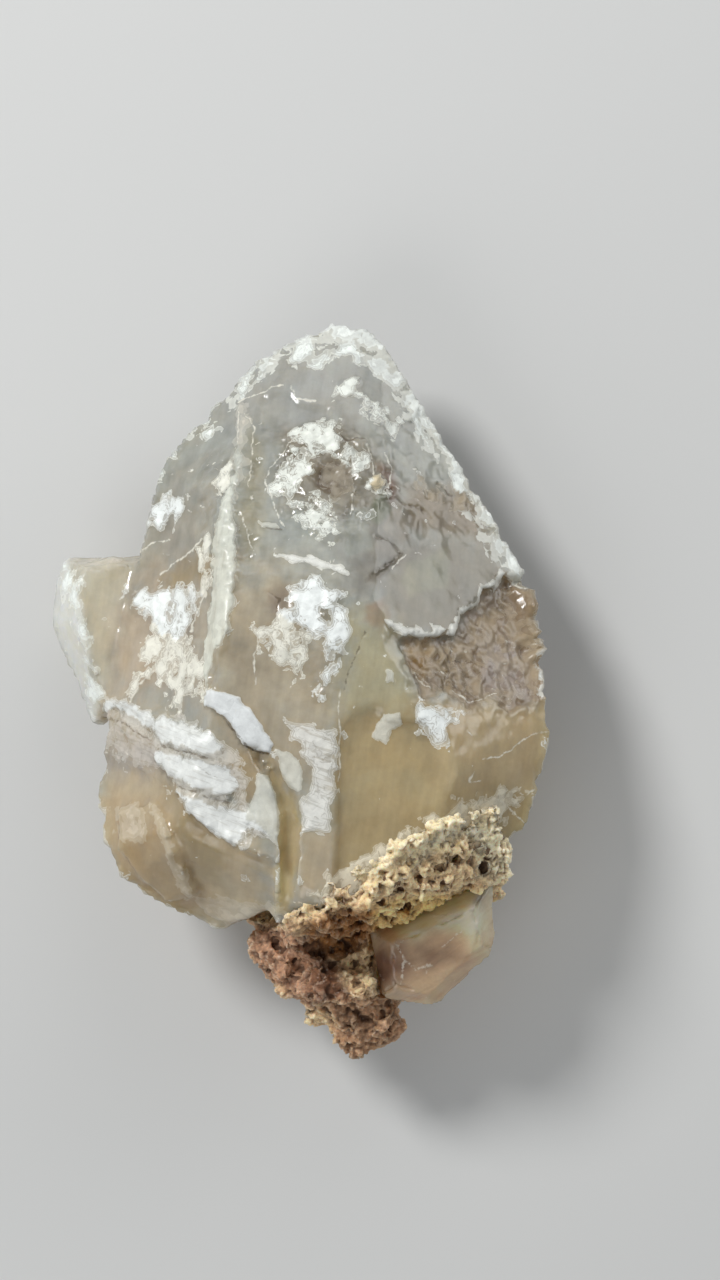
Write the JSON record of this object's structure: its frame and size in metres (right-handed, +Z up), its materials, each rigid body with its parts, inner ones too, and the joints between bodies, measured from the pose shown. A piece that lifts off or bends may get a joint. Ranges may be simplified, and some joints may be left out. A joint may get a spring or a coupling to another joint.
{
  "type": "citrine crystal",
  "caption": "Pale citrine crystal with white fracture veils and a side crystal, its root set in a crumbly tan matrix with a small grey crystal.",
  "frame": {"origin": "middle of the bottom of the bounding box, on the ground under the flat back face", "axes": "+Y runs from the root to the tip, +Z is up out of the broad front face, +X is to the right of someone who looks down on the front with the tip up"},
  "size_m": [0.0694, 0.1036, 0.0389],
  "materials": {
    "citrine": "translucent, partly frosted",
    "crust": "rough, crumbly",
    "grey_quartz": "translucent, glossy"
  },
  "bodies": {
    "root": {"crystal": "citrine", "matrix": "crust", "foot_crystal": "grey_quartz"}
  },
  "joints": []
}
